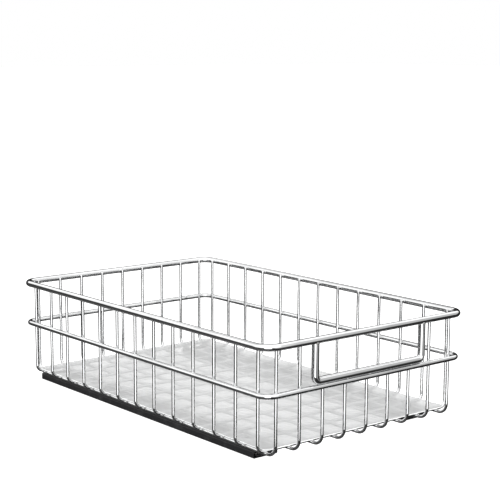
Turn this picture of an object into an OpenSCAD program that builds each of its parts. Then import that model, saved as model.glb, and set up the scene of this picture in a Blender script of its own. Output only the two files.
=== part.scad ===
// Pull-out wire basket for a cabinet, on a pair of low ball slides.
// Millimetres, +Z up. X runs across the basket, the handle faces -Y.
// Origin: on the cabinet floor, under the middle of the basket.

/* [Basket] */
// Width over the rim wire
basket_w = 280.6; // [240:0.2:420]
// Depth over the rim wire
basket_d = 450.6; // [400:0.2:560]
// Height from the underside of the floor grid to the top of the rim
basket_h = 113.9; // [90:0.1:180]
// Drop from the rim wire's centre to the mid ring's centre
ring_drop = 47.4; // [35:0.1:60]
// Corner radius of the rim wire, at its centre line
rim_corner_r = 16; // [13:0.5:19]
// Corner radius of the mid ring, at its centre line
ring_corner_r = 14; // [11:0.5:18]

/* [Wires] */
// Diameter of the rim wire
rim_wire_d = 7.2; // [5:0.1:8]
// Diameter of the mid ring wire
ring_wire_d = 5.4; // [4:0.1:6]
// Diameter of the thin cross wires and long wires
grid_wire_d = 3.4; // [3:0.1:4]
// Number of cross wires, which run from side to side
cross_count = 13; // [11:2:15]
// Number of long wires, which run from front to back
long_count = 9; // [9:2:11]
// Distance from the front wall of wires to the first cross wire
cross_inset = 13; // [11.5:0.5:18]
// Distance from the side wall of wires to the first long wire
long_inset = 11.4; // [11:0.1:15]
// Bend radius of the cross wires at the floor, at the centre line
cross_bend_r = 7; // [6:0.5:10]
// Bend radius of the long wires at the floor, at the centre line
long_bend_r = 11; // [8:0.5:11]
// Length of a wire end above the centre of the wire that it is welded to
wire_end = 1; // [0.5:0.1:1.5]
// Chamfer on the cut ends of the thin wires
wire_end_chamfer = 0.5; // [0.2:0.1:0.8]

/* [Handle] */
// Diameter of the handle wire
handle_d = 7.7; // [5:0.1:8]
// Distance between the centres of the handle's legs
handle_span = 148; // [130:1:165]
// Bend radius of the handle, at the centre line
handle_bend_r = 5; // [4.5:0.1:10]
// Depth of the saddle that is cut into the top of each leg of the handle
handle_cope = 1; // [0.5:0.1:1.5]
// Number of front wires that stop at the mid ring, behind the handle
short_count = 5; // [3:2:5]

/* [Liner] */
// Thickness of the floor liner
liner_t = 0.8; // [0.5:0.1:2]
// Gap between the edge of the liner and the side walls of wires
liner_side_gap = 6.4; // [6.4:0.1:16]
// Gap between the edge of the liner and the end walls of wires
liner_end_gap = 7.4; // [7:0.1:16]
// Corner radius of the liner
liner_corner_r = 6; // [3:0.5:15]

/* [Slides] */
// Distance from the front of the rim to the front of the slides
slide_setback = 41.3; // [25:0.1:45]
// Distance from the back of the rim to the back of the slides
slide_back_inset = 13.3; // [8:0.1:20]
// Width of the cabinet member
rail_w = 31; // [30:0.5:33]
// Height of the cabinet member
rail_h = 7.7; // [7.5:0.1:9]
// Thickness of the rolled sheet
sheet_t = 0.9; // [0.8:0.05:1]
// Outer radius of the roll where wall turns into lip
lip_roll_r = 1.6; // [1.3:0.1:1.8]
// Outer radius of the roll where wall turns into web
web_roll_r = 1.3; // [1.1:0.1:1.4]
// Travel of the basket
travel = 380; // [300:5:385]
// Height of the drawer member above the cabinet member
drawer_proud = 0.6; // [0.4:0.1:1.2]

/* [Ball cages] */
// Diameter of the balls
ball_d = 2.5; // [2:0.1:2.6]
// Height of the ball centres above the cabinet floor
ball_z = 4.75; // [4.7:0.05:4.8]
// Depth of the ball races in the sheet
race_depth = 0.2; // [0.1:0.05:0.25]
// Number of balls in each row of a cage
balls_per_row = 8; // [4:1:12]
// Thickness of the cage strip
cage_t = 0.4; // [0.3:0.05:0.45]
// Width of the cage strip left above a ball pocket
cage_edge = 0.3; // [0.2:0.05:0.4]
// Distance from the end of a cage to its first ball
cage_end = 6; // [4:0.5:10]

/* [Stops] */
// Length of the rear bumper
bumper_len = 6; // [5:0.5:9]
// Height of the rear bumper above the cabinet floor
bumper_h = 6.4; // [5:0.1:6.6]
// Diameter of the peg that holds the bumper
bumper_peg_d = 3; // [2:0.1:4]
// Distance from the end of a member to its stop tab
tab_inset = 4; // [2:0.5:8]
// Width of a stop tab
tab_w = 8; // [5:0.5:10]

/* [Brackets] */
// Thickness of a mount bracket
bracket_t = 1.5; // [1:0.1:1.6]
// Width of a mount bracket
bracket_w = 15; // [12:0.5:18]
// Length of the flat that is screwed down
bracket_flat = 20; // [20:0.5:22]
// Length of one joggle between the flat and an end
joggle_len = 2; // [1.5:0.1:2.5]
// Length of an end beyond the cross wire that it is welded to
bracket_end = 4; // [3:0.5:8]
// Radius of the corners of a bracket's ends
bracket_corner_r = 3; // [1:0.5:5]
// Distance between the two screws of a bracket
bracket_screw_pitch = 10; // [9:0.5:11]
// Diameter of a bracket screw
screw_d = 4; // [3:0.1:4]
// Diameter of a bracket screw's pan head
screw_head_d = 7; // [6:0.1:8]
// Height of a bracket screw's head
screw_head_h = 2.2; // [1.6:0.1:2.4]
// Length of a bracket screw under the head
screw_len = 5.4; // [5:0.1:5.6]
// Diameter of a clinch nut's body
nut_d = 7; // [6:0.1:7.4]
// Height of a clinch nut's body
nut_h = 2; // [1.5:0.1:2.4]
// Wall of the clinch nut's collar, which fills the hole in the drawer member
nut_collar_wall = 0.7; // [0.5:0.1:0.9]

/* [Floor screws] */
// Diameter of the screw holes in the cabinet member
floor_hole_d = 4.5; // [4:0.1:5]
// Diameter of the driver holes above them
driver_hole_d = 9; // [8:0.1:10]

/* [Clearances] */
// Running gap between the cabinet members and the floor grid
floor_gap = 0.5; // [0.4:0.1:1.5]
// Running gap around a ball in its races
ball_gap = 0.15; // [0.1:0.01:0.2]
// Gap around a ball in its cage pocket
pocket_gap = 0.1; // [0.05:0.01:0.15]
// Running gap over and under a cage strip
cage_gap = 0.25; // [0.2:0.01:0.25]
// Running gap between the lips of one member and the next
lip_gap = 0.5; // [0.3:0.05:0.6]
// Gap between the members' back ends and the bumper
bumper_gap = 0.3; // [0.2:0.1:1]
// Gap under the floor liner, which lies loose
liner_gap = 0.1; // [0.1:0.05:0.3]
// Gap between pieces that are pressed, pegged or screwed together
fit_gap = 0.05; // [0.03:0.01:0.08]
// Gap around a screw in its bracket hole
screw_gap = 0.2; // [0.1:0.05:0.3]

/* [Hidden] */
wire_fn = 32;
ball_fn = 24;
cut_over = 1;

// Walls: the thin wires stand inside the rim and the mid ring and touch both.
grid_r = grid_wire_d / 2;
rim_r = rim_wire_d / 2;
ring_r = ring_wire_d / 2;
handle_r = handle_d / 2;
wall_x = basket_w / 2 - rim_wire_d - grid_r;
wall_y = basket_d / 2 - rim_wire_d - grid_r;
rim_x = wall_x + grid_r + rim_r;
rim_y = wall_y + grid_r + rim_r;
ring_x = wall_x + grid_r + ring_r;
ring_y = wall_y + grid_r + ring_r;

// Floor grid: the long wires are the lower layer and the cross wires lie on them.
grid_z = rail_h + floor_gap;
long_z = grid_z + grid_r;
cross_z = long_z + grid_wire_d;
rim_z = grid_z + basket_h - rim_r;
ring_z = rim_z - ring_drop;
liner_z = cross_z + grid_r + liner_gap;
cross_pitch = 2 * (wall_y - cross_inset) / (cross_count - 1);
long_pitch = 2 * (wall_x - long_inset) / (long_count - 1);

// Handle: it stands over the mid ring, and its bar rests on it.
handle_y = -ring_y;
bar_z = ring_z + ring_r + handle_r + fit_gap;

// Slides: centred between the two outermost long wires on each side.
slide_x = wall_x - long_inset - long_pitch / 2;
slide_front = -basket_d / 2 + slide_setback;
slide_back = basket_d / 2 - slide_back_inset;
member_back = slide_back - bumper_len - bumper_gap;
drawer_top = rail_h + drawer_proud;
bumper_y = slide_back - bumper_len / 2;

// Races: each wall lies on a circle that is a ball plus its running gap.
ball_r = ball_d / 2;
race_r = ball_r + ball_gap;
race_offset = race_r - race_depth;
race_angle = acos(race_offset / race_r);
outer_ball_x = rail_w / 2 - sheet_t - race_offset;
middle_x = outer_ball_x - race_offset;
inner_ball_x = middle_x - sheet_t - race_offset;
drawer_x = inner_ball_x - race_offset;
lip_x = middle_x + lip_gap;

// Heights inside a slide, from the cabinet floor up.
outer_cage_z = sheet_t + cage_gap;
middle_z = outer_cage_z + cage_t + cage_gap;
inner_cage_z = middle_z + sheet_t + cage_gap;
drawer_foot_z = inner_cage_z + cage_t + cage_gap;
middle_top = drawer_top - sheet_t - cage_gap;
cage_leg_top = ball_z + ball_r + pocket_gap + cage_edge;
middle_lip_x = inner_ball_x + cage_t / 2 + cage_gap;

// Stops: at full travel each cage is held between the tabs of its two members.
front_tab_y = slide_front + tab_inset;
rear_tab_y = member_back - tab_inset;
cage_front = front_tab_y + sheet_t + cage_gap + travel / 4;
cage_back = rear_tab_y - sheet_t - cage_gap - travel / 4;
ball_pitch = (cage_back - cage_front - 2 * cage_end) / (balls_per_row - 1);

// Screws and brackets lie midway between cross wires, clear of the grid.
screw_rows = [-3.5, 0.5, 4.5];
bracket_rows = [-4.5, 3.5];
bracket_low = drawer_top;
bracket_high = cross_z - grid_r - bracket_t;
nut_bore_d = screw_d + 2 * fit_gap;
nut_collar_d = nut_bore_d + 2 * nut_collar_wall;

function two(i) = i < 10 ? str("0", i) : str(i);
function cross_name(i) = str("cross_wire_", two(i + 1));
function long_name(i) = str("long_wire_", i + 1);
function side_name(side, piece) = str(side > 0 ? "right_" : "left_", piece);

SLIDE_NODES = [
  "cabinet_member", "middle_member", "drawer_member", "outer_cage", "outer_balls",
  "inner_cage", "inner_balls", "rear_bumper", "front_bracket", "rear_bracket",
  "bracket_screws", "clinch_nuts"
];

// ---- wire shapes

// A straight wire along +Z with a chamfered top end.
module wire_leg(r, len) {
  cylinder(r = r, h = len - wire_end_chamfer, $fn = wire_fn);
  translate([0, 0, len - wire_end_chamfer])
    cylinder(r1 = r, r2 = r - wire_end_chamfer, h = wire_end_chamfer, $fn = wire_fn);
}

// A quarter bend in the XY plane, about the origin, from +X to +Y.
module wire_bend(r, bend_r) {
  rotate_extrude(angle = 90, $fn = 2 * wire_fn)
    translate([bend_r, 0]) circle(r = r, $fn = wire_fn);
}

// A closed rectangle of wire with round corners, around the centre.
module wire_loop(half_x, half_y, r, corner_r) {
  for (turn = [0:3]) {
    along = turn % 2 == 0 ? half_x : half_y;
    across = turn % 2 == 0 ? half_y : half_x;
    rotate([0, 0, 90 * turn]) {
      translate([corner_r - along, across, 0])
        rotate([0, 90, 0]) cylinder(r = r, h = 2 * (along - corner_r), $fn = wire_fn);
      translate([along - corner_r, across - corner_r, 0]) wire_bend(r, corner_r);
    }
  }
}

// One corner and leg of a U, in the XZ plane, on the +X side.
module u_side(half_span, bend_r, top) {
  translate([half_span - bend_r, 0, bend_r])
    rotate([90, 0, 0]) rotate([0, 0, -90]) wire_bend(grid_r, bend_r);
  translate([half_span, 0, bend_r]) wire_leg(grid_r, top - bend_r);
}

// A U of thin wire in the XZ plane: floor at z = 0, legs up to the two tops.
module u_wire(half_span, bend_r, left_top, right_top) {
  translate([bend_r - half_span, 0, 0])
    rotate([0, 90, 0]) cylinder(r = grid_r, h = 2 * (half_span - bend_r), $fn = wire_fn);
  u_side(half_span, bend_r, right_top);
  mirror([1, 0, 0]) u_side(half_span, bend_r, left_top);
}

// ---- basket

module rim_wire() {
  color("gainsboro") translate([0, 0, rim_z]) wire_loop(rim_x, rim_y, rim_r, rim_corner_r);
}

module mid_ring() {
  color("silver") translate([0, 0, ring_z]) wire_loop(ring_x, ring_y, ring_r, ring_corner_r);
}

// The legs are coped to sit against the underside of the rim wire.
module handle() {
  leg_top = rim_z - rim_r + handle_cope;
  bend_z = bar_z + handle_bend_r;
  color("gainsboro") translate([0, handle_y, 0]) difference() {
    union() {
      translate([handle_bend_r - handle_span / 2, 0, bar_z])
        rotate([0, 90, 0])
          cylinder(r = handle_r, h = handle_span - 2 * handle_bend_r, $fn = wire_fn);
      for (side = [0, 1]) mirror([side, 0, 0]) {
        translate([handle_span / 2 - handle_bend_r, 0, bend_z])
          rotate([90, 0, 0]) rotate([0, 0, -90]) wire_bend(handle_r, handle_bend_r);
        translate([handle_span / 2, 0, bend_z])
          cylinder(r = handle_r, h = leg_top - bend_z, $fn = wire_fn);
      }
    }
    translate([-handle_span, -rim_y - handle_y, rim_z])
      rotate([0, 90, 0]) cylinder(r = rim_r + fit_gap, h = 2 * handle_span, $fn = wire_fn);
  }
}

// Cross wires run from side to side and have two full legs.
module cross_wire(i) {
  y = (i - (cross_count - 1) / 2) * cross_pitch;
  top = rim_z + wire_end - cross_z;
  color("lightsteelblue") translate([0, y, cross_z]) u_wire(wall_x, cross_bend_r, top, top);
}

// Long wires run from front to back. The middle ones stop at the mid ring in front.
module long_wire(i) {
  x = (i - (long_count - 1) / 2) * long_pitch;
  short = abs(i - (long_count - 1) / 2) < short_count / 2;
  back_top = rim_z + wire_end - long_z;
  front_top = (short ? ring_z : rim_z) + wire_end - long_z;
  color("lightblue") translate([x, 0, long_z])
    rotate([0, 0, 90]) u_wire(wall_y, long_bend_r, front_top, back_top);
}

// A flat sheet with round corners, around the centre and up from the XY plane.
module rounded_sheet(half_x, half_y, corner_r, t) {
  linear_extrude(t) {
    square([2 * half_x, 2 * (half_y - corner_r)], center = true);
    square([2 * (half_x - corner_r), 2 * half_y], center = true);
    for (sx = [-1, 1]) for (sy = [-1, 1])
      translate([sx * (half_x - corner_r), sy * (half_y - corner_r)])
        circle(r = corner_r, $fn = wire_fn);
  }
}

module floor_liner() {
  color("whitesmoke") translate([0, 0, liner_z])
    rounded_sheet(wall_x - liner_side_gap, wall_y - liner_end_gap, liner_corner_r, liner_t);
}

// ---- slide members: a half profile is mirrored and drawn along the slide

function arc(cx, cz, r, from, to, steps) =
  [for (k = [0:steps]) let (a = from + (to - from) * k / steps) [cx + r * cos(a), cz + r * sin(a)]];
function flip(points) =
  [for (k = [len(points) - 1:-1:0]) [-points[k][0], points[k][1]]];

module along_slide(front, back, half) {
  translate([0, back, 0]) rotate([90, 0, 0])
    linear_extrude(back - front) polygon(concat(half, flip(half)));
}

// An upward channel with lips turned in, from its web's underside at z0 to the lips at z1.
// A ball race is rolled into the inside of the wall, and one into the outside if out_ball_x is above 0.
function channel_half(x, z0, z1, lip_end, in_ball_x, out_ball_x) = concat(
  [[0, z0]],
  arc(x - web_roll_r, z0 + web_roll_r, web_roll_r, -90, 0, 4),
  out_ball_x > 0 ? arc(out_ball_x, ball_z, race_r, 180 + race_angle, 180 - race_angle, 6) : [],
  arc(x - lip_roll_r, z1 - lip_roll_r, lip_roll_r, 0, 90, 5),
  [[lip_end, z1], [lip_end, z1 - sheet_t]],
  arc(x - lip_roll_r, z1 - lip_roll_r, lip_roll_r - sheet_t, 90, 0, 4),
  arc(in_ball_x, ball_z, race_r, race_angle, -race_angle, 6),
  arc(x - web_roll_r, z0 + web_roll_r, web_roll_r - sheet_t, 0, -90, 4),
  [[0, z0 + sheet_t]]
);

// A downward channel: the web is on top and the feet end above the inner cage.
function drawer_half() = concat(
  [[0, drawer_top - sheet_t]],
  arc(drawer_x - web_roll_r, drawer_top - web_roll_r, web_roll_r - sheet_t, 90, 0, 4),
  [[drawer_x - sheet_t, drawer_foot_z], [drawer_x, drawer_foot_z]],
  arc(inner_ball_x, ball_z, race_r, 180 + race_angle, 180 - race_angle, 6),
  arc(drawer_x - web_roll_r, drawer_top - web_roll_r, web_roll_r, 0, 90, 4),
  [[0, drawer_top]]
);

// Holes on the three screw rows, through whatever this is subtracted from.
module row_holes(d) {
  for (row = screw_rows)
    translate([0, row * cross_pitch, -cut_over])
      cylinder(d = d, h = drawer_top + 2 * cut_over, $fn = wire_fn);
}

module on_side(side) {
  translate([side * slide_x, 0, 0]) children();
}

// The stop tab is lanced out of the web and stands in the way of the outer cage.
module cabinet_member(side) {
  color([0.13, 0.13, 0.14]) on_side(side) {
    difference() {
      along_slide(slide_front, slide_back,
                  channel_half(rail_w / 2, 0, rail_h, lip_x, outer_ball_x, 0));
      row_holes(floor_hole_d);
      translate([0, bumper_y, -cut_over])
        cylinder(d = bumper_peg_d + 2 * fit_gap, h = sheet_t + 2 * cut_over, $fn = wire_fn);
    }
    translate([-tab_w / 2, front_tab_y, sheet_t])
      cube([tab_w, sheet_t, middle_z - sheet_t - cage_gap]);
  }
}

module middle_member(side) {
  color([0.2, 0.2, 0.22]) on_side(side) {
    difference() {
      along_slide(slide_front, member_back,
                  channel_half(middle_x, middle_z, middle_top, middle_lip_x, inner_ball_x, outer_ball_x));
      row_holes(driver_hole_d);
    }
    translate([-tab_w / 2, rear_tab_y - sheet_t, sheet_t + cage_gap])
      cube([tab_w, sheet_t, middle_z - sheet_t - cage_gap]);
    translate([-tab_w / 2, front_tab_y, middle_z + sheet_t])
      cube([tab_w, sheet_t, drawer_foot_z - middle_z - sheet_t - cage_gap]);
  }
}

// The rear stop tab is bent down from the web to the level of the inner cage.
module drawer_member(side) {
  tab_foot = middle_z + sheet_t + cage_gap;
  color([0.16, 0.16, 0.17]) on_side(side) {
    difference() {
      along_slide(slide_front, member_back, drawer_half());
      row_holes(driver_hole_d);
      bracket_screw_places() translate([0, 0, drawer_foot_z])
        cylinder(d = nut_collar_d + 2 * fit_gap, h = drawer_top, $fn = wire_fn);
    }
    translate([-tab_w / 2, rear_tab_y - sheet_t, tab_foot])
      cube([tab_w, sheet_t, drawer_top - sheet_t - tab_foot]);
  }
}

// ---- balls and their cages

// Puts its children at each ball of one row, from front to back.
module ball_places(x) {
  for (sx = [-1, 1]) for (k = [0:balls_per_row - 1])
    translate([sx * x, cage_front + cage_end + k * ball_pitch, ball_z]) children();
}

module balls(side, x) {
  color("white") on_side(side) ball_places(x) sphere(d = ball_d, $fn = ball_fn);
}

// A strip bent up along both edges, with a round pocket for each ball.
module cage(side, x, z) {
  leg_x = x - cage_t / 2;
  color("goldenrod") on_side(side) difference() {
    along_slide(cage_front, cage_back, [
      [0, z], [leg_x + cage_t, z], [leg_x + cage_t, cage_leg_top],
      [leg_x, cage_leg_top], [leg_x, z + cage_t], [0, z + cage_t]
    ]);
    row_holes(driver_hole_d);
    ball_places(x) rotate([0, 90, 0])
      cylinder(d = ball_d + 2 * pocket_gap, h = 4 * cage_t, center = true, $fn = wire_fn);
  }
}

module outer_cage(side) {
  cage(side, outer_ball_x, outer_cage_z);
}

module inner_cage(side) {
  cage(side, inner_ball_x, inner_cage_z);
}

module outer_balls(side) {
  balls(side, outer_ball_x);
}

module inner_balls(side) {
  balls(side, inner_ball_x);
}

// A moulded block between the walls of the cabinet member, with a peg through its web.
module rear_bumper(side) {
  half_w = rail_w / 2 - sheet_t - bumper_gap;
  nose = bumper_len / 3;
  color("dimgray") on_side(side) {
    translate([-half_w, 0, 0]) rotate([90, 0, 90]) linear_extrude(2 * half_w) polygon([
      [slide_back - bumper_len, sheet_t + fit_gap],
      [slide_back, sheet_t + fit_gap],
      [slide_back, bumper_h - nose],
      [slide_back - nose, bumper_h],
      [slide_back - bumper_len, bumper_h]
    ]);
    translate([0, bumper_y, fit_gap])
      cylinder(d = bumper_peg_d, h = sheet_t + fit_gap, $fn = wire_fn);
  }
}

// ---- brackets that carry the basket on the drawer members

// Puts its children at each bracket, on the cabinet floor.
module bracket_places() {
  for (row = bracket_rows) translate([0, row * cross_pitch, 0]) children();
}

// Puts its children at the two screws of one bracket.
module screw_pair() {
  for (end = [-1, 1]) translate([0, end * bracket_screw_pitch / 2, 0]) children();
}

module bracket_screw_places() {
  bracket_places() screw_pair() children();
}

// A joggled strip with round corners: the flat lies on the drawer member, and the ends meet two
// cross wires.
module bracket(side, row) {
  flat = bracket_flat / 2;
  end = cross_pitch / 2 + bracket_end;
  slope = bracket_high - bracket_low;
  shift = bracket_t * (sqrt(pow(joggle_len, 2) + pow(slope, 2)) - slope) / joggle_len;
  under = [
    [-end, bracket_high], [-flat - joggle_len, bracket_high], [-flat, bracket_low],
    [flat, bracket_low], [flat + joggle_len, bracket_high], [end, bracket_high]
  ];
  over = [
    [end, bracket_high + bracket_t], [flat + joggle_len - shift, bracket_high + bracket_t],
    [flat - shift, bracket_low + bracket_t], [shift - flat, bracket_low + bracket_t],
    [shift - flat - joggle_len, bracket_high + bracket_t], [-end, bracket_high + bracket_t]
  ];
  color("silver") on_side(side) translate([0, row * cross_pitch, 0]) difference() {
    intersection() {
      translate([-bracket_w / 2, 0, 0]) rotate([90, 0, 90])
        linear_extrude(bracket_w) polygon(concat(under, over));
      rounded_sheet(bracket_w / 2, end, bracket_corner_r, cross_z);
    }
    screw_pair() translate([0, 0, bracket_low - cut_over])
      cylinder(d = screw_d + 2 * screw_gap, h = bracket_t + 2 * cut_over, $fn = wire_fn);
  }
}

module front_bracket(side) {
  bracket(side, bracket_rows[0]);
}

module rear_bracket(side) {
  bracket(side, bracket_rows[1]);
}

// Pan-head screws with a cross recess.
module bracket_screws(side) {
  seat = bracket_low + bracket_t;
  crown = screw_head_h / 3;
  recess_l = 0.6 * screw_head_d;
  recess_w = screw_d / 4;
  color("lightgray") on_side(side) bracket_screw_places() difference() {
    union() {
      translate([0, 0, seat - screw_len])
        cylinder(d = screw_d, h = screw_len, $fn = wire_fn);
      translate([0, 0, seat])
        cylinder(d = screw_head_d, h = screw_head_h - crown, $fn = wire_fn);
      translate([0, 0, seat + screw_head_h - crown])
        cylinder(d1 = screw_head_d, d2 = screw_head_d - 2 * crown, h = crown, $fn = wire_fn);
    }
    for (turn = [0, 90]) rotate([0, 0, turn])
      translate([-recess_l / 2, -recess_w / 2, seat + screw_head_h / 2])
        cube([recess_l, recess_w, screw_head_h]);
  }
}

// Round nuts pressed up into the web of the drawer member.
module clinch_nuts(side) {
  web_under = drawer_top - sheet_t;
  color("gray") on_side(side) bracket_screw_places() difference() {
    union() {
      translate([0, 0, web_under - nut_h]) cylinder(d = nut_d, h = nut_h, $fn = wire_fn);
      translate([0, 0, web_under])
        cylinder(d = nut_collar_d, h = sheet_t - fit_gap, $fn = wire_fn);
    }
    translate([0, 0, web_under - nut_h - cut_over])
      cylinder(d = nut_bore_d, h = nut_h + sheet_t + 2 * cut_over, $fn = wire_fn);
  }
}

rim_wire();
mid_ring();
handle();
floor_liner();
for (i = [0:cross_count - 1]) cross_wire(i);
for (i = [0:long_count - 1]) long_wire(i);
for (side = [-1, 1]) {
  cabinet_member(side);
  middle_member(side);
  drawer_member(side);
  outer_cage(side);
  outer_balls(side);
  inner_cage(side);
  inner_balls(side);
  rear_bumper(side);
  front_bracket(side);
  rear_bracket(side);
  bracket_screws(side);
  clinch_nuts(side);
}
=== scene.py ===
import math

import bpy
import numpy as np
from mathutils import Matrix, Vector


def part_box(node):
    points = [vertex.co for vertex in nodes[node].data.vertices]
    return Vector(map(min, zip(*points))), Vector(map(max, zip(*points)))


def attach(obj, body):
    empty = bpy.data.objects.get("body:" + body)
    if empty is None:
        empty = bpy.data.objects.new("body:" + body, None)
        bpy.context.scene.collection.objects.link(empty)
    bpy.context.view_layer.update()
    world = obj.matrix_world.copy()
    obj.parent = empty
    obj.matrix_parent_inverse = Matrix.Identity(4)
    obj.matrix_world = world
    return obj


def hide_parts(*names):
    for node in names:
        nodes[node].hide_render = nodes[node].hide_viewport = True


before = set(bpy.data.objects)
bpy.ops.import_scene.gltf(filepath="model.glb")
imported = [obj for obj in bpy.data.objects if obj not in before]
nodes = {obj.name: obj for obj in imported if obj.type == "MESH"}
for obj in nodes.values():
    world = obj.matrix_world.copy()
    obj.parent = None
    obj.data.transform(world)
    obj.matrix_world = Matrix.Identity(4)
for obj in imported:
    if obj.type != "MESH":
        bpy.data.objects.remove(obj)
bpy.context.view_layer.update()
print("frame loaded:", len(nodes), "nodes")

view = {
    "place": (-0.9223, -1.1453, 0.4034),   # metres
    "yawDeg": 39.64,                       # from +Y towards +X
    "pitchDeg": 8.97,                      # downwards
    "rollDeg": 0.28,
    "lensMm": 96.17,
    "sensorMm": 36.0,
    "clip": (0.01, 50.0),                  # metres, the nearest and the furthest that is drawn
}


def lookAxes(v):
    # forward and right unit vectors of a camera given by yaw and pitch
    yaw, pitch = math.radians(v["yawDeg"]), math.radians(v["pitchDeg"])
    flat = math.cos(pitch)
    forward = Vector((math.sin(yaw) * flat, math.cos(yaw) * flat, -math.sin(pitch)))
    return forward, Vector((math.cos(yaw), -math.sin(yaw), 0.0))


def makeCamera(v):
    data = bpy.data.cameras.new("camera")
    data.lens, data.sensor_width = v["lensMm"], v["sensorMm"]
    data.clip_start, data.clip_end = v["clip"]
    cam = bpy.data.objects.new("camera", data)
    bpy.context.scene.collection.objects.link(cam)
    forward, right = lookAxes(v)
    up = right.cross(forward)
    roll = Matrix.Rotation(math.radians(v["rollDeg"]), 3, "Z")
    turn = Matrix((right, up, -forward)).transposed() @ roll
    cam.matrix_world = Matrix.Translation(v["place"]) @ turn.to_4x4()
    bpy.context.scene.camera = cam


makeCamera(view)
bpy.context.scene.view_settings.view_transform = "Standard"
print("camera made")


class Signal:
    # a shader socket in a formula: each operation adds a Math node to its tree
    def __init__(self, socket):
        self.socket = socket
        self.tree = socket.id_data

    @staticmethod
    def node(tree, kind, settings=None, sockets=None, out=0):
        # settings are set first, then each socket gets its value or its link
        made = tree.nodes.new(kind)
        for name, value in (settings or {}).items():
            setattr(made, name, value)
        for key, value in (sockets or {}).items():
            plug(tree, made, key, value)
        return Signal(made.outputs[out])

    def output(self, name):
        # another output of the same node
        return Signal(self.socket.node.outputs[name])

    def maths(self, operation, *others):
        sockets = dict(enumerate((self,) + others))
        return Signal.node(self.tree, "ShaderNodeMath", {"operation": operation}, sockets)

    def __add__(self, other):
        return self.maths("ADD", other)

    def __sub__(self, other):
        return self.maths("SUBTRACT", other)

    def __rsub__(self, other):
        return self * -1.0 + other

    def __mul__(self, other):
        return self.maths("MULTIPLY", other)

    __radd__ = __add__
    __rmul__ = __mul__


def plug(tree, node, key, value):
    if isinstance(value, Signal):
        tree.links.new(value.socket, node.inputs[key])
    else:
        node.inputs[key].default_value = value


def smooth(value, low, high, atLow=0.0, atHigh=1.0):
    # an S-shaped step from one value to another between two limits
    sockets = {0: value, 1: low, 2: high, 3: atLow, 4: atHigh}
    return Signal.node(value.tree, "ShaderNodeMapRange", {"interpolation_type": "SMOOTHSTEP"}, sockets)


def between(share, limits):
    # the first limit where the share is 0, the second where it is 1
    low, high = limits
    return share * (high - low) + low


def mixColour(share, first, second):
    # inputs 6 and 7 and output 2 are the Mix node's colours
    sockets = {0: share, 6: first, 7: second}
    return Signal.node(share.tree, "ShaderNodeMix", {"data_type": "RGBA"}, sockets, 2)


def noise(place, scale, detail=2.0):
    sockets = {"Vector": place, "Scale": scale, "Detail": detail}
    return Signal.node(place.tree, "ShaderNodeTexNoise", None, sockets)


def clouds(place, scale, detail, low, high):
    # soft patches: 0 where the noise is under the low limit, 1 where it is over the high one
    return smooth(noise(place, scale, detail), low, high)


def streaked(place, stretch, scale, detail):
    # noise whose scale is multiplied along each axis, so that it makes streaks along the least of them
    stretched = Signal.node(place.tree, "ShaderNodeMapping", None, {0: place, "Scale": stretch})
    return noise(stretched, scale, detail)


def parts(vector):
    # the three components of a vector
    split = Signal.node(vector.tree, "ShaderNodeSeparateXYZ", None, {0: vector})
    return split, split.output("Y"), split.output("Z")


white, black = (1, 1, 1, 1), (0, 0, 0, 1)
studio = {
    "backdrop": 1.0,          # behind the basket, as light
    "strength": 1.25,         # of the bright part, as light
    "dark": (0.085, 0.03),    # of the dark part, as light: on the camera's left and on its right
    "darkTurn": (-0.4, 0.4),  # cosines to the right between which one gives way to the other
    "darkHigh": 0.6,          # share of the dark part's light that stays above the panel's foot
    "leanDeg": 28.0,          # of the bright half, from straight above towards the camera
    "sideDeg": 6.0,           # and from the camera towards its right
    "blur": 0.07,             # softness of the edge between the two halves, as a cosine
    # patches: turn from the camera's side towards its right, height, inner and outer radius in degrees,
    # and their level as a share of the bright part
    "patches": [
        (100.0, 13.0, 16.0, 32.0, 0.45),
        (178.0, 39.0, 9.0, 17.0, 0.08),
        (219.0, 53.0, 13.0, 18.0, 0.5),
    ],
    # below the horizon the bright part is a panel on the camera's side, with a grey one to its right,
    # both written as a patch is
    "horizon": (-0.05, 0.03),         # sines of the heights between which one gives way to the other
    "panelFoot": (-0.375, -0.305),    # sines of the heights between which the panels begin
    "panel": (-2.0, -9.0, 16.0, 24.0, 2.2),
    "rightPanel": (60.0, 0.0, 22.0, 32.0, 0.3),
}


def towards(v, turnDeg, highDeg):
    # unit vector from the basket: its turn from the camera's side towards the camera's right, its height
    forward, right = lookAxes(v)
    back = -Vector((forward.x, forward.y, 0)).normalized()
    turn, high = math.radians(turnDeg), math.radians(highDeg)
    return (back * math.cos(turn) + right * math.sin(turn)) * math.cos(high) + Vector((0, 0, math.sin(high)))


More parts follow.
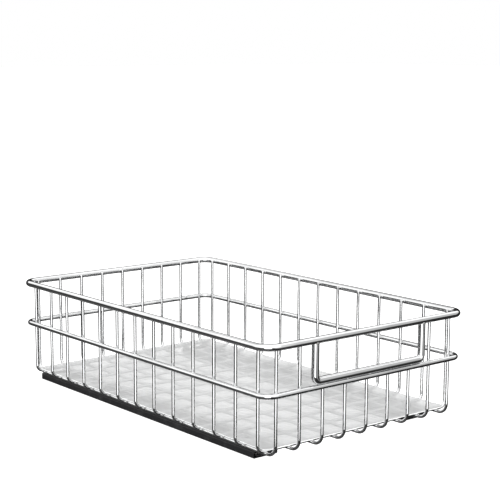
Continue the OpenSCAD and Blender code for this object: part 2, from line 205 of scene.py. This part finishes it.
def makeStudio(s, v):
    world = bpy.data.worlds.new("studio")
    bpy.context.scene.world = world
    world.use_nodes = True
    tree = world.node_tree
    x, y, z = parts(Signal.node(tree, "ShaderNodeTexCoord", out="Generated"))

    def cosineTo(direction):
        return x * direction.x + y * direction.y + z * direction.z

    def patch(turnDeg, highDeg, innerDeg, outerDeg, outside, inside):
        inner, outer = math.cos(math.radians(innerDeg)), math.cos(math.radians(outerDeg))
        return smooth(cosineTo(towards(v, turnDeg, highDeg)), outer, inner, outside, inside)

    above = smooth(cosineTo(towards(v, s["sideDeg"], 90 - s["leanDeg"])), -s["blur"], s["blur"])
    for *where, level in s["patches"]:
        above = above * patch(*where, 1.0, level)
    below = patch(*s["panel"][:4], 0.0, s["panel"][4])
    below = below.maths("MAXIMUM", patch(*s["rightPanel"][:4], 0.0, s["rightPanel"][4]))
    high = smooth(z, *s["horizon"])
    lit = above * high + below * smooth(z, *s["panelFoot"]) * (1.0 - high)
    levelRight = towards(v, 90.0, 0.0)
    dark = smooth(cosineTo(levelRight), *s["darkTurn"], *s["dark"])
    dark = dark * smooth(z, *s["panelFoot"], 1.0, s["darkHigh"])
    light = lit * s["strength"] + (1.0 - lit) * dark
    around = Signal.node(tree, "ShaderNodeBackground", None, {0: white, 1: light})
    plain = Signal.node(tree, "ShaderNodeBackground", None, {0: white, 1: s["backdrop"]})
    seen = Signal.node(tree, "ShaderNodeLightPath", out="Is Camera Ray")
    both = Signal.node(tree, "ShaderNodeMixShader", None, {0: seen, 1: around, 2: plain})
    plug(tree, tree.nodes["World Output"], "Surface", both)


paper = {
    "half": 15.0,             # metres, half the floor's side
    "shade": (0.6, 0.6, 0.6, 1),
    "roughness": 0.9,
    "glow": 0.9,
}


def makeFloor(p):
    mesh = bpy.data.meshes.new("floor")
    corners = np.array([(-1, -1, 0), (1, -1, 0), (1, 1, 0), (-1, 1, 0)]) * p["half"]
    mesh.from_pydata(corners.tolist(), [], [(0, 1, 2, 3)])
    floor = bpy.data.objects.new("floor", mesh)
    bpy.context.scene.collection.objects.link(floor)
    mat = bpy.data.materials.new("floor_paper")
    mat.use_nodes = True
    tree = mat.node_tree
    coat = tree.nodes["Principled BSDF"]
    plug(tree, coat, "Base Color", p["shade"])
    plug(tree, coat, "Roughness", p["roughness"])
    plug(tree, coat, "Emission Color", white)
    plug(tree, coat, "Emission Strength", p["glow"])
    # seen from below it is clear
    clear = Signal.node(tree, "ShaderNodeBsdfTransparent")
    under = Signal.node(tree, "ShaderNodeNewGeometry", out="Backfacing")
    both = Signal.node(tree, "ShaderNodeMixShader", None, {0: under, 1: Signal(coat.outputs[0]), 2: clear})
    plug(tree, tree.nodes["Material Output"], "Surface", both)
    mesh.materials.append(mat)
    floor.visible_glossy = False


makeStudio(studio, view)
makeFloor(paper)
print("studio and floor made")


def newFinish(name):
    # a material with its Principled shader, and the place on the piece as a vector
    mat = bpy.data.materials.new(name)
    mat.use_nodes = True
    place = Signal.node(mat.node_tree, "ShaderNodeTexCoord", out="Object")
    return mat, place


def setFinish(mat, **sockets):
    # a socket is named with an underscore for its space
    coat = mat.node_tree.nodes["Principled BSDF"]
    for name, value in sockets.items():
        plug(mat.node_tree, coat, name.replace("_", " "), value)
    return mat


def bump(height, distance, strength=1.0):
    sockets = {"Strength": strength, "Distance": distance, "Height": height}
    return Signal.node(height.tree, "ShaderNodeBump", None, sockets, "Normal")


# in the finishes below, smudges, burns, haze, scuffs, patches and blooms are given as scale per metre,
# detail, and the noise's low and high limits; depths and sizes are in metres, and a pair of roughnesses
# is that of the noise at 0 and at 1
chrome = {
    "bright": (0.88, 0.885, 0.89, 1),
    "dull": (0.78, 0.785, 0.79, 1),
    "smudges": (1 / 0.03, 4.0, 0.42, 0.66),
    "rippleSize": 0.007,
    "rippleDepth": 0.00002,
    "roughness": (0.02, 0.1),
}


def makeChrome(c):
    mat, place = newFinish("bright_chrome")
    smudge = clouds(place, *c["smudges"])
    ripple = noise(place, 1 / c["rippleSize"])
    return setFinish(mat, Metallic=1.0, Base_Color=mixColour(smudge, c["bright"], c["dull"]),
                     Roughness=between(smudge, c["roughness"]), Normal=bump(ripple, c["rippleDepth"]))


weld = {
    "bright": (0.8, 0.8, 0.8, 1),
    "burnt": (0.42, 0.4, 0.38, 1),
    "burns": (400.0, 3.0, 0.45, 0.65),
    "grainSize": 0.0006,
    "grainDepth": 0.00006,
    "grainStrength": 0.6,
    "roughness": (0.18, 0.38),
}


def makeWeldChrome(w):
    mat, place = newFinish("weld_chrome")
    burn = clouds(place, *w["burns"])
    grain = noise(place, 1 / w["grainSize"])
    return setFinish(mat, Metallic=1.0, Base_Color=mixColour(burn, w["bright"], w["burnt"]),
                     Roughness=between(burn, w["roughness"]),
                     Normal=bump(grain, w["grainDepth"], w["grainStrength"]))


def unit(vector):
    return vector / np.linalg.norm(vector)


def roundedPath(corners, bend, closed=False, steps=12):
    # straight runs through the corners, each corner replaced by an arc of the bend radius;
    # an arc's point is centre + bend * (sine of its angle along the run before - cosine to the side)
    corners = np.array(corners, float)
    places, runs = [], []
    for k, here in enumerate(corners):
        before, after = corners[k - 1], corners[(k + 1) % len(corners)]
        if not closed and k in (0, len(corners) - 1):
            run = unit(after - here) if k == 0 else unit(here - before)
            places.append(here[None])
            runs.append(run[None])
            continue
        inward, outward = unit(here - before), unit(after - here)
        turn = math.acos(float(np.clip(inward @ outward, -1, 1)))
        side = unit(outward - inward * (inward @ outward))
        angle = np.linspace(0, turn, steps)[:, None]
        centre = here - inward * bend * math.tan(turn / 2) + side * bend
        places.append(centre + bend * (np.sin(angle) * inward - np.cos(angle) * side))
        runs.append(np.cos(angle) * inward + np.sin(angle) * side)
    return np.concatenate(places), np.concatenate(runs)


def tubeRings(path, radius, along, across, origin, sides=28):
    # circles square to a flat path: place + radius * (cosine to the path's left + sine out of its plane)
    places, runs = path
    along, across = np.array(along, float), np.array(across, float)
    out = np.cross(along, across)
    centre = np.array(origin, float) + places[:, :1] * along + places[:, 1:] * across
    left = -runs[:, 1:] * along + runs[:, :1] * across
    angle = np.linspace(0, 2 * np.pi, sides, endpoint=False)[None, :, None]
    radius = np.broadcast_to(radius, len(places))[:, None, None]
    return centre[:, None] + radius * (np.cos(angle) * left[:, None] + np.sin(angle) * out)


def chamfered(path, radius, chamfer):
    # the path and radii of an open wire whose two ends are cut back by a chamfer
    places, runs = path
    start, end = places[:1] + runs[:1] * chamfer, places[-1:] - runs[-1:] * chamfer
    places = np.concatenate([places[:1], start, places[1:-1], end, places[-1:]])
    runs = np.concatenate([runs[:1], runs[:1], runs[1:-1], runs[-1:], runs[-1:]])
    radii = np.full(len(places), radius)
    radii[[0, -1]] -= chamfer
    return (places, runs), radii


def skin(rings, closed=False):
    # faces that join each ring of points to the next; an open tube also gets its two flat ends
    rows, cols = rings.shape[:2]
    index = np.arange(rows * cols).reshape(rows, cols)
    first = index if closed else index[:-1]
    second = np.roll(index, -1, 0) if closed else index[1:]
    quads = np.stack([first, np.roll(first, -1, 1), np.roll(second, -1, 1), second], -1)
    faces = quads.reshape(-1, 4).tolist()
    if not closed:
        faces += [index[0][::-1].tolist(), index[-1].tolist()]
    return rings.reshape(-1, 3), faces


def makePiece(name, points, faces, finish, body, slot, replaced=(), creaseDeg=40.0):
    # a mesh in one finish, carried by a body, in place of the solids that it replaces
    mesh = bpy.data.meshes.new(name)
    mesh.from_pydata(points.tolist(), [], faces)
    mesh.shade_smooth()
    mesh.set_sharp_from_angle(angle=math.radians(creaseDeg))
    mesh.materials.append(finish)
    piece = bpy.data.objects.new(name, mesh)
    bpy.context.scene.collection.objects.link(piece)
    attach(piece, body)
    if replaced:
        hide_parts(*replaced)
    return piece


wire = {
    "crossBend": 0.007,       # metres, bend radii at the centre line
    "longBend": 0.011,
    "rimCorner": 0.016,
    "ringCorner": 0.014,
    "handleBend": 0.005,
    "endChamfer": 0.0005,
    "endOverRing": 0.001,     # a short end above the centre of the mid ring
    "shortHalfWidth": 0.07,   # wires nearer the middle than this stop at the mid ring in front
    "seamRise": 0.0002,       # the butt weld that closes a loop
    "seamWidth": 0.0012,
    "seamReach": 3,           # widths to each side of the weld that get rings of their own
    "seamRings": 13,
}
alongX, alongY, alongZ = np.eye(3)
chromeFinish = makeChrome(chrome)
weldFinish = makeWeldChrome(weld)


def middle(name):
    # a node's low corner, high corner and middle
    low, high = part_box(name)
    return np.array(low), np.array(high), (np.array(low) + np.array(high)) / 2


def bentWire(name, side, across, bend, tops, w):
    # a U of wire: two legs and the run between them, in the plane of side and up
    low, high, mid = middle(name)
    radius = (high - low) @ np.abs(across) / 2
    reach = high @ side - radius
    runZ = low[2] + radius
    corners = [(-reach, tops[0]), (-reach, runZ), (reach, runZ), (reach, tops[1])]
    path, radii = chamfered(roundedPath(corners, bend), radius, w["endChamfer"])
    rings = tubeRings(path, radii, side, alongZ, (mid @ across) * across)
    makePiece(name + "_bent", *skin(rings), chromeFinish, "basket", "chrome_wire", [name])


def closedWire(name, corner, w):
    # a closed loop with round corners and a low ring of weld where its two ends meet at the back,
    # ground flush on top and outside: rise = seam rise * e ^ -(distance / seam width) ^ 2
    low, high, mid = middle(name)
    radius = (high[2] - low[2]) / 2
    x, y = high[0] - radius, high[1] - radius
    places, runs = roundedPath([(x, y), (-x, y), (-x, -y), (x, -y)], corner, closed=True)
    seam = np.linspace(w["seamReach"], -w["seamReach"], w["seamRings"])[:, None] * w["seamWidth"]
    split = len(places) // 4                     # after the first corner's arc
    places = np.concatenate([places[:split], seam * (1, 0) + (0, y), places[split:]])
    runs = np.concatenate([runs[:split], np.repeat(runs[split - 1:split], len(seam), 0), runs[split:]])
    rise = w["seamRise"] * np.exp(-(places[:, 0] / w["seamWidth"]) ** 2) * (places[:, 1] > 0)
    places[:, 1] -= rise
    rings = tubeRings((places, runs), radius + rise, alongX, alongY, (0, 0, mid[2]))
    rings[..., 2] -= rise[:, None]
    makePiece(name + "_loop", *skin(rings, closed=True), chromeFinish, "basket", "chrome_wire", [name])


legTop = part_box("cross_wire_01")[1].z
ringZ = middle("mid_ring")[2][2]
for name in sorted(nodes):
    if name.startswith("cross_wire"):
        bentWire(name, alongX, alongY, wire["crossBend"], (legTop, legTop), wire)
    if name.startswith("long_wire"):
        isShort = abs(middle(name)[2][0]) < wire["shortHalfWidth"]
        frontTop = ringZ + wire["endOverRing"] if isShort else legTop
        bentWire(name, alongY, alongX, wire["longBend"], (frontTop, legTop), wire)
closedWire("rim_wire", wire["rimCorner"], wire)
closedWire("mid_ring", wire["ringCorner"], wire)
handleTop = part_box("handle")[1].z
bentWire("handle", alongX, alongY, wire["handleBend"], (handleTop, handleTop), wire)
print("wires made")

linerPlastic = {
    "plain": (0.9, 0.905, 0.905, 1),
    "hazy": (0.86, 0.865, 0.865, 1),
    "haze": (25.0, 3.0, 0.35, 0.65),
    # the cut edge's colour, lighter than the flat sides; the edge also gives it off as a painted glow, a
    # painted highlight along the edge
    "edge": (0.95, 0.96, 0.96, 1),
    "edgePaintedGlow": 0.2,
    "edgeTilt": (0.5, 0.8),   # upright part of the normal: the cut edge below these, a flat side above
    "alpha": (0.6, 1.0),      # of the flat sides and of the cut edge
    "roughness": (0.25, 0.55),
    "ior": 1.49,
    "streaks": ((900.0, 30.0, 900.0), 1.0, 4.0),   # fine drawn lines from front to back
    "streakDepth": 0.00002,
    "streakStrength": 0.5,
}


def makeLinerPlastic(m):
    mat, place = newFinish("frosted_sheet")
    streaks = streaked(place, *m["streaks"])
    up = parts(Signal.node(mat.node_tree, "ShaderNodeNewGeometry", out="Normal"))[2]
    cut = smooth(up.maths("ABSOLUTE"), *m["edgeTilt"], 1.0, 0.0)
    colour = mixColour(clouds(place, *m["haze"]), m["plain"], m["hazy"])
    # the cut edge gives off its colour as a painted glow: a painted highlight along the edge
    return setFinish(mat, Base_Color=mixColour(cut, colour, m["edge"]), Alpha=between(cut, m["alpha"]),
                     Roughness=between(streaks, m["roughness"]), IOR=m["ior"],
                     Emission_Color=mixColour(cut, black, m["edge"]), Emission_Strength=m["edgePaintedGlow"],
                     Normal=bump(streaks, m["streakDepth"], m["streakStrength"]))


sheet = {
    "overhang": 0.0009,       # metres past the flat solid's edge
    "corner": 0.006,
    "settle": 0.00005,
    "sag": 0.0001,            # between two cross wires
    "droop": 0.0001,          # more of it at the free edge
    "edgeLift": 0.00022,      # where the edge meets the bend of a cross wire
    "edgeReach": 0.008,
    "fineFrom": 0.94,         # share of the half width past which the columns stand closer
    "columns": (9, 33),       # in the close part at each side, and between the two
    "rows": (9, 157),         # round a corner, and between the corners
    "edgeRows": 7,            # over the rounded cut edge
}


def linerSheet(w):
    # a stadium-shaped section drawn from front to back: top, rounded edge, underside, rounded edge;
    # height = middle of the solid - settle + share * near * lift - (1 - share) * (sag + near * droop),
    # where share = squared cosine, 1 over each cross wire and 0 midway between two, and
    # near = squared closeness to the long edge, 1 at the edge and 0 from the reach inwards
    low, high, mid = middle("floor_liner")
    halfX, halfY = high[0] + w["overhang"], high[1]
    halfThick = (high[2] - low[2]) / 2
    pitch = middle("cross_wire_02")[2][1] - middle("cross_wire_01")[2][1]
    corner = w["corner"]
    flat = halfY - corner
    cornerRows, flatRows = w["rows"]
    turn = np.linspace(0, 1, cornerRows)
    y = np.concatenate([-flat - corner * np.cos(turn * np.pi / 2), np.linspace(-flat, flat, flatRows)[1:-1],
                        flat + corner * np.sin(turn * np.pi / 2)])[:, None]
    past = np.clip(np.abs(y) - flat, 0, corner)
    width = halfX - corner + np.sqrt(corner ** 2 - past ** 2)
    fineColumns, plainColumns = w["columns"]
    fine = np.linspace(-1, -w["fineFrom"], fineColumns)[:-1]
    across = np.concatenate([fine, np.linspace(-w["fineFrom"], w["fineFrom"], plainColumns), -fine[::-1]])
    edge = np.linspace(np.pi / 2, -np.pi / 2, w["edgeRows"])[None, 1:-1]
    top = np.concatenate([width * across, width + 0 * edge, width * across[::-1], -width + 0 * edge], 1)
    rise = np.concatenate([0 * across + 1, np.sin(edge[0]), 0 * across - 1, -np.sin(edge[0])])
    bulge = np.concatenate([0 * across, np.cos(edge[0]), 0 * across, -np.cos(edge[0])])
    share = np.cos(np.pi * (y - middle("cross_wire_01")[2][1]) / pitch) ** 2
    near = np.clip((np.abs(top) - halfX + w["edgeReach"]) / w["edgeReach"], 0, 1) ** 2
    level = share * near * w["edgeLift"] - (1 - share) * (w["sag"] + near * w["droop"])
    z = mid[2] - w["settle"] + level + halfThick * rise
    rings = np.stack([top + halfThick * bulge, y + 0 * top, z], -1)
    return makePiece("liner_sheet", *skin(rings), linerFinish, "basket", "liner_plastic", ["floor_liner"])


linerFinish = makeLinerPlastic(linerPlastic)
linerSheet(sheet).visible_glossy = False
print("liner made")

drop = {
    "floor": (0.0015, 0.0015, 0.0007),      # metres, half sizes
    "rim": (0.0009, 0.0009, 0.0016),
    "ring": (0.0008, 0.0008, 0.0014),
    "along": 0.0007,                        # more of it along the thick wire
    "bar": (0.0022, 0.001, 0.0006),
    "bracket": (0.0018, 0.0018, 0.0005),
    "bracketSpread": 0.005,                 # from the bracket's middle to its two drops
    "mesh": (10, 6),                        # points round a drop, and rings from its foot to its top
    "reach": 0.94,                          # share of the way to its two poles
    "lump": 0.05,                           # unevenness of its surface, as a share
    "swell": 0.08,                          # and of its sizes
    "bead": 0.0006,                         # radius of the bead round a leg of the handle
    "beadMesh": (40, 8),                    # points round the leg, and round the bead
    "beadRipple": (0.12, 9, 2),             # share of the radius, and how often its two waves go round
    "creaseDeg": 80.0,
}
crossNames = sorted(name for name in nodes if name.startswith("cross_wire"))
longNames = sorted(name for name in nodes if name.startswith("long_wire"))
crossY = np.array([middle(name)[2][1] for name in crossNames])
longX = np.array([middle(name)[2][0] for name in longNames])


def weldDrops(name, places, sizes, seed, slot="chrome_wire"):
    # small ellipsoids: centre + size * (cosine latitude * cosine, cosine latitude * sine, sine latitude),
    # each with sizes of its own and a slightly lumpy surface
    places, sizes = np.array(places, float), np.array(sizes, float)
    chance = np.random.default_rng(seed)
    around, rows = drop["mesh"]
    turn = np.linspace(0, 2 * np.pi, around, endpoint=False)[None, :]
    rise = np.linspace(-drop["reach"], drop["reach"], rows)[:, None] * np.pi / 2
    ball = np.stack([np.cos(rise) * np.cos(turn), np.cos(rise) * np.sin(turn), np.sin(rise) + 0 * turn], -1)
    lump = 1 + chance.normal(0, drop["lump"], (len(places), rows, around, 1))
    swell = 1 + chance.normal(0, drop["swell"], (len(places), 1, 1, 3))
    points = places[:, None, None] + ball * (sizes * np.ones_like(places))[:, None, None] * lump * swell
    ballFaces = skin(ball)[1]
    starts = range(0, len(places) * rows * around, rows * around)
    faces = [[start + corner for corner in face] for start in starts for face in ballFaces]
    makePiece(name, points.reshape(-1, 3), faces, weldFinish, "basket", slot, creaseDeg=drop["creaseDeg"])


def floorWelds():
    # one drop where each cross wire lies on each long wire
    low, high = middle(longNames[0])[:2]
    level = low[2] + high[0] - low[0]
    x, y = np.meshgrid(longX, crossY)
    places = np.stack([x.ravel(), y.ravel(), np.full(x.size, level)], 1)
    weldDrops("floor_welds", places, drop["floor"], seed=3)


def wallWelds():
    # one drop where each leg stands against the rim and against the mid ring
    rimZ = middle("rim_wire")[2][2]
    wallX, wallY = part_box(crossNames[0])[1].x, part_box(longNames[0])[1].y
    places, sizes = [], []
    for level, size in ((rimZ, drop["rim"]), (ringZ, drop["ring"])):
        alongSide, alongEnd = np.array(size) + (0, drop["along"], 0), np.array(size) + (drop["along"], 0, 0)
        for side in (-1, 1):
            places += [(side * wallX, y, level) for y in crossY]
            sizes += [alongSide] * len(crossY)
            standing = [x for x in longX if side > 0 or level < rimZ or abs(x) > wire["shortHalfWidth"]]
            places += [(x, side * wallY, level) for x in standing]
            sizes += [alongEnd] * len(standing)
    weldDrops("wall_welds", places, sizes, seed=5)


def handleWelds():
    # drops under the bar, on the mid ring, and a bead round the top of each leg, a quarter of its radius
    # sunk into the leg: it follows the round underside of the rim,
    # height = rim centre - root(rim radius ^ 2 - distance from the rim's centre ^ 2),
    # and goes no higher than the leg's own top; its radius ripples by a product of two sines
    handleLow, handleHigh, handleMid = middle("handle")
    rimLow, rimHigh, rimMid = middle("rim_wire")
    legRadius, rimRadius = (handleHigh[1] - handleLow[1]) / 2, (rimHigh[2] - rimLow[2]) / 2
    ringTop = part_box("mid_ring")[1].z
    short = [x for x in longX if abs(x) < wire["shortHalfWidth"]]
    weldDrops("bar_welds", [(x, handleMid[1], ringTop) for x in short], drop["bar"], seed=7)
    legPoints, beadPoints = drop["beadMesh"]
    turn, curl = np.meshgrid(np.linspace(0, 2 * np.pi, legPoints, endpoint=False),
                             np.linspace(0, 2 * np.pi, beadPoints, endpoint=False), indexing="ij")
    ripple, fast, slow = drop["beadRipple"]
    bead = drop["bead"] * (1 + ripple * np.sin(fast * turn) * np.sin(slow * turn))
    reach = legRadius - drop["bead"] / 4 + bead * np.cos(curl)
    offset = handleMid[1] + legRadius * np.sin(turn) - (rimLow[1] + rimRadius)
    under = rimMid[2] - np.sqrt(np.clip(rimRadius ** 2 - offset ** 2, 0, None))
    height = np.minimum(under, handleHigh[2]) - bead * np.sin(curl)
    ring = np.stack([reach * np.cos(turn), reach * np.sin(turn), height], -1)
    for side, name in ((-1, "left_handle_bead"), (1, "right_handle_bead")):
        moved = ring + (side * (handleHigh[0] - legRadius), handleMid[1], 0)
        makePiece(name, *skin(moved, closed=True), weldFinish, "basket", "chrome_wire",
                  creaseDeg=drop["creaseDeg"])


def bracketWelds():
    # two drops where each bracket's end lies under a cross wire
    places = []
    for side in ("left", "right"):
        for end in ("front", "rear"):
            low, high, mid = middle(side + "_" + end + "_bracket")
            under = [y for y in crossY if low[1] < y < high[1]]
            places += [(mid[0] + k * drop["bracketSpread"], y, high[2]) for y in under for k in (-1, 1)]
    weldDrops("bracket_welds", places, drop["bracket"], seed=9, slot="bracket_plate")


floorWelds()
wallWelds()
handleWelds()
bracketWelds()
print("welds made")


def dress(finish, *kinds):
    # one finish for these pieces of both slides
    for kind in kinds:
        for side in ("left_", "right_"):
            for holder in nodes[side + kind].material_slots:
                holder.material = finish


drawnStretch = (1.0, 0.04, 1.0)      # makes streaks that run from front to back, as rolled steel has them
coatBlack = {
    "black": (0.014, 0.014, 0.015, 1),
    "scuffed": (0.045, 0.045, 0.047, 1),
    "scuffs": (120.0, 5.0, 0.52, 0.72),
    "scuffShare": 0.5,               # of the scuffed colour in a scuff
    "steel": (0.5, 0.49, 0.47, 1),
    "ballZ": 0.00475,                # metres, height of the ball races
    "trackHalf": (0.00028, 0.0007),  # half the height of the worn track: its core and its soft edge
    "wallX": (0.0148, 0.015),        # from the member's middle, where the wear ends: its outside has none
    "wornStreaks": (drawnStretch, 900.0, 3.0),
    "wornLimits": (0.4, 0.6),        # of the streaks, between bare coat and worn track
    "grainScale": 2500.0,
    "grainDepth": 0.00002,
    "grainStrength": 0.4,
    "grainRoughness": 0.1,
    "roughness": (0.33, 0.45),
}


def makeCoat(name, m):
    # black coat, worn to the steel in a track at the height of the balls
    mat, place = newFinish(name)
    x, _, z = parts(place)
    centre = middle("right_cabinet_member")[2][0]
    off = (x.maths("ABSOLUTE") - centre).maths("ABSOLUTE")
    inner = smooth(off, *m["wallX"], 1.0, 0.0)
    streak = streaked(place, *m["wornStreaks"])
    track = smooth((z - m["ballZ"]).maths("ABSOLUTE"), *m["trackHalf"], 1.0, 0.0)
    worn = track * inner * smooth(streak, *m["wornLimits"])
    scuff = clouds(place, *m["scuffs"])
    grain = noise(place, m["grainScale"])
    low, high = m["roughness"]
    colour = mixColour(scuff * m["scuffShare"], m["black"], m["scuffed"])
    return setFinish(mat, Base_Color=mixColour(worn, colour, m["steel"]), Metallic=worn,
                     Roughness=scuff * (high - low) + grain * m["grainRoughness"] + low,
                     Normal=bump(grain, m["grainDepth"], m["grainStrength"]))


# drawn is 1 where the grain runs from front to back, and 0 where it has no direction
metals = {
    "strip_steel": {
        "bright": (0.62, 0.6, 0.55, 1),
        "dull": (0.36, 0.33, 0.26, 1),
        "patches": (150.0, 4.0, 0.42, 0.62),
        "roughness": (0.22, 0.4),
        "drawn": 1.0,
        "kinds": ("outer_cage", "inner_cage"),
    },
    "ball_steel": {
        "bright": (0.85, 0.85, 0.87, 1),
        "dull": (0.4, 0.35, 0.24, 1),        # under a film of grease
        "patches": (500.0, 4.0, 0.42, 0.62),
        "roughness": (0.06, 0.3),
        "drawn": 0.0,
        "kinds": ("outer_balls", "inner_balls"),
    },
    "zinc_plate": {
        "bright": (0.74, 0.75, 0.77, 1),
        "dull": (0.56, 0.56, 0.54, 1),
        "patches": (300.0, 4.0, 0.42, 0.62),
        "roughness": (0.25, 0.42),
        "drawn": 0.0,
        "kinds": ("bracket_screws", "clinch_nuts"),
    },
    "bracket_chrome": {
        "bright": (0.82, 0.825, 0.83, 1),
        "dull": (0.6, 0.6, 0.6, 1),
        "patches": (80.0, 4.0, 0.42, 0.62),
        "roughness": (0.14, 0.3),
        "drawn": 0.0,
        "kinds": ("front_bracket", "rear_bracket"),
    },
}
metalGrain = {
    "drawn": (drawnStretch, 3000.0, 3.0),
    "plainScale": 1500.0,
    "depth": 0.00002,
    "strength": 0.3,
    "roughness": 0.1,
}


def makeMetal(name, m, g):
    # bare or plated metal with dull patches and a fine grain
    mat, place = newFinish(name)
    patch = clouds(place, *m["patches"])
    drawn = streaked(place, *g["drawn"])
    grain = drawn * m["drawn"] + noise(place, g["plainScale"]) * (1.0 - m["drawn"])
    low, high = m["roughness"]
    return setFinish(mat, Metallic=1.0, Base_Color=mixColour(patch, m["bright"], m["dull"]),
                     Roughness=patch * (high - low) + grain * g["roughness"] + low,
                     Normal=bump(grain, g["depth"], g["strength"]))


rubber = {
    "black": (0.02, 0.02, 0.02, 1),
    "bloomed": (0.05, 0.05, 0.048, 1),
    "blooms": (200.0, 3.0, 0.45, 0.7),
    "grain": (1800.0, 3.0),          # scale per metre and detail
    "grainDepth": 0.00004,
    "grainStrength": 0.5,
    "roughness": (0.6, 0.8),
}


def makeRubber(r):
    mat, place = newFinish("moulded_rubber")
    grain = noise(place, *r["grain"])
    bloom = clouds(place, *r["blooms"])
    return setFinish(mat, Base_Color=mixColour(bloom, r["black"], r["bloomed"]),
                     Roughness=between(grain, r["roughness"]),
                     Normal=bump(grain, r["grainDepth"], r["grainStrength"]))


dress(makeCoat("black_coat", coatBlack), "cabinet_member", "middle_member", "drawer_member")
for name, metal in metals.items():
    dress(makeMetal(name, metal, metalGrain), *metal["kinds"])
dress(makeRubber(rubber), "rear_bumper")
print("solids dressed")
